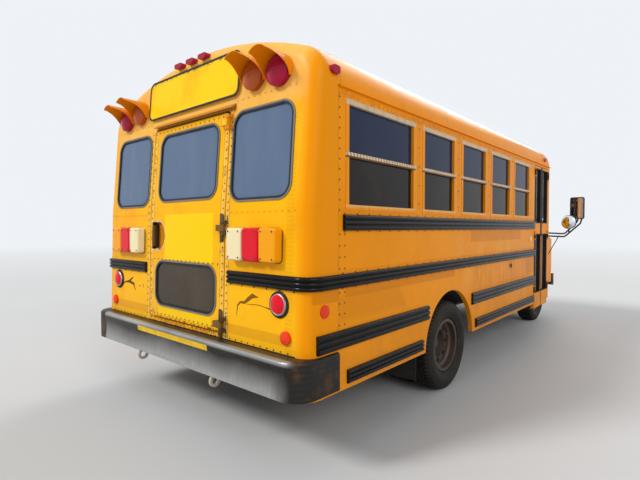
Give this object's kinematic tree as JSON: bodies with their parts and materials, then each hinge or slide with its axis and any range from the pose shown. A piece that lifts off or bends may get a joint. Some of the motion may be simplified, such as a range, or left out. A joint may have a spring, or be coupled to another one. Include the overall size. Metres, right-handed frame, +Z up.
{
  "type": "short school bus",
  "caption": "Short cutaway school bus with ribbed side rails, a rear emergency door, twin rear wheels, steered front wheels and a blank stop arm.",
  "frame": {"origin": "on the ground under the middle of the overall length and width", "axes": "+Y forward, +X to the kerb side, +Z up"},
  "size_m": [3.06, 6.2701, 2.6276],
  "materials": {
    "yellow_paint": "gloss enamel, faded and streaked",
    "white_paint": "gloss enamel",
    "black_rail": "satin black",
    "chassis_black": "satin black with road dust",
    "bumper_steel": "scuffed grey steel",
    "wheel_steel": "painted steel with rust",
    "cast": "cast, dusty",
    "window_alloy": "satin",
    "glass": "tinted, polished",
    "rubber": "matt",
    "tyre": "matt, dusty",
    "red_lens": "moulded lens",
    "amber_lens": "moulded lens",
    "clear_lens": "moulded lens",
    "black_plastic": "grained",
    "seat_vinyl": "coated vinyl",
    "zinc": "plated",
    "exhaust_steel": "dull",
    "floor_rubber": "ribbed, matt"
  },
  "bodies": {
    "bus_body": {"amber_lamps": "amber_lens", "cab_floor": "floor_rubber", "cab_shell": "yellow_paint", "clear_lamps": "clear_lens", "crossmembers": "chassis_black", "dashboard": "black_plastic", "driveline": "chassis_black", "engine": "cast", "exhaust": "exhaust_steel", "fixed_hinges": "zinc", "floor": "floor_rubber", "frame_rails": "chassis_black", "front_axle": "chassis_black", "front_bulkhead": "yellow_paint", "front_bumper": "bumper_steel", "front_cap": "yellow_paint", "fuel_tank": "chassis_black", "grille": "black_plastic", "lamp_visors": "yellow_paint", "leaf_springs": "chassis_black", "mirrors": "black_plastic", "mud_flaps": "rubber", "rear_axle": "chassis_black", "rear_bumper": "bumper_steel", "rear_wall": "yellow_paint", "red_lamps": "red_lens", "roof": "white_paint", "rub_rails": "black_rail", "seat_cushions": "seat_vinyl", "seat_frames": "zinc", "side_wall_left": "yellow_paint", "side_wall_right": "yellow_paint", "sign_boards": "yellow_paint", "step_well": "chassis_black", "wheel_houses": "chassis_black", "window_frames": "window_alloy", "window_gaskets": "rubber", "window_glass": "glass"},
    "tie_rod": {"tie_rod": "chassis_black"},
    "knuckle_left": {"knuckle_left": "chassis_black"},
    "knuckle_right": {"knuckle_right": "chassis_black"},
    "front_wheel_left": {"front_rim_left": "wheel_steel", "front_tyre_left": "tyre"},
    "front_wheel_right": {"front_rim_right": "wheel_steel", "front_tyre_right": "tyre"},
    "rear_wheels_left": {"rear_rims_left": "wheel_steel", "rear_tyres_left": "tyre"},
    "rear_wheels_right": {"rear_rims_right": "wheel_steel", "rear_tyres_right": "tyre"},
    "emergency_door": {"emergency_door": "yellow_paint", "emergency_gaskets": "rubber", "emergency_glass": "glass"},
    "entrance_leaf_rear": {"entrance_leaf_rear": "yellow_paint", "entrance_glass_rear": "glass"},
    "entrance_leaf_front": {"entrance_leaf_front": "yellow_paint", "entrance_glass_front": "glass"},
    "driver_door": {"driver_door": "yellow_paint", "driver_door_glass": "glass"},
    "hood": {"hood": "yellow_paint"},
    "stop_arm": {"stop_arm": "red_lens"}
  },
  "joints": [
    {"name": "rear_wheels_left_spin", "type": "hinge", "parent": "bus_body", "child": "rear_wheels_left", "pos_m": [-0.951, -1.2425, 0.372], "axis": [1, 0, 0], "continuous": true},
    {"name": "rear_wheels_right_spin", "type": "hinge", "parent": "bus_body", "child": "rear_wheels_right", "pos_m": [0.951, -1.2425, 0.372], "axis": [1, 0, 0], "continuous": true},
    {"name": "steering_left", "type": "hinge", "parent": "bus_body", "child": "knuckle_left", "pos_m": [-0.77, 2.2625, 0.372], "axis": [0, 0, 1], "range_deg": [-32, 32]},
    {"name": "steering_right", "type": "hinge", "parent": "bus_body", "child": "knuckle_right", "pos_m": [0.77, 2.2625, 0.372], "axis": [0, 0, 1], "range_deg": [-32, 32]},
    {"name": "front_wheel_left_spin", "type": "hinge", "parent": "knuckle_left", "child": "front_wheel_left", "pos_m": [-0.868, 2.2625, 0.372], "axis": [1, 0, 0], "continuous": true},
    {"name": "front_wheel_right_spin", "type": "hinge", "parent": "knuckle_right", "child": "front_wheel_right", "pos_m": [0.868, 2.2625, 0.372], "axis": [1, 0, 0], "continuous": true},
    {"name": "emergency_door_hinge", "type": "hinge", "parent": "bus_body", "child": "emergency_door", "pos_m": [0.475, -3.02424, 1.48], "axis": [0, 0.0499, 0.9988], "range_deg": [0, 110]},
    {"name": "entrance_rear_hinge", "type": "hinge", "parent": "bus_body", "child": "entrance_leaf_rear", "pos_m": [1.224, 1.1615, 1.27], "axis": [0, 0, -1], "range_deg": [0, 85]},
    {"name": "entrance_front_hinge", "type": "hinge", "parent": "bus_body", "child": "entrance_leaf_front", "pos_m": [1.224, 1.7635, 1.27], "axis": [0, 0, 1], "range_deg": [0, 85]},
    {"name": "driver_door_hinge", "type": "hinge", "parent": "bus_body", "child": "driver_door", "pos_m": [-1.016, 1.8735, 1.1], "axis": [0, 0, -1], "range_deg": [0, 65]},
    {"name": "hood_hinge", "type": "hinge", "parent": "bus_body", "child": "hood", "pos_m": [0, 2.3725, 1.292], "axis": [1, 0, 0], "range_deg": [0, 55]},
    {"name": "stop_arm_hinge", "type": "hinge", "parent": "bus_body", "child": "stop_arm", "pos_m": [-1.265, 1.0575, 1.2], "axis": [0, 0, -1], "range_deg": [0, 90]},
    {"name": "tie_rod_shift", "type": "slide", "parent": "bus_body", "child": "tie_rod", "axis": [1, 0, 0], "range_m": [-0.09, 0.09]}
  ],
  "couplings": [
    {"joint": "steering_right", "follows": "steering_left", "ratio": 1},
    {"joint": "tie_rod_shift", "follows": "steering_left", "m_per_rad": 0.16},
    {"joint": "entrance_front_hinge", "follows": "entrance_rear_hinge", "ratio": 1}
  ]
}
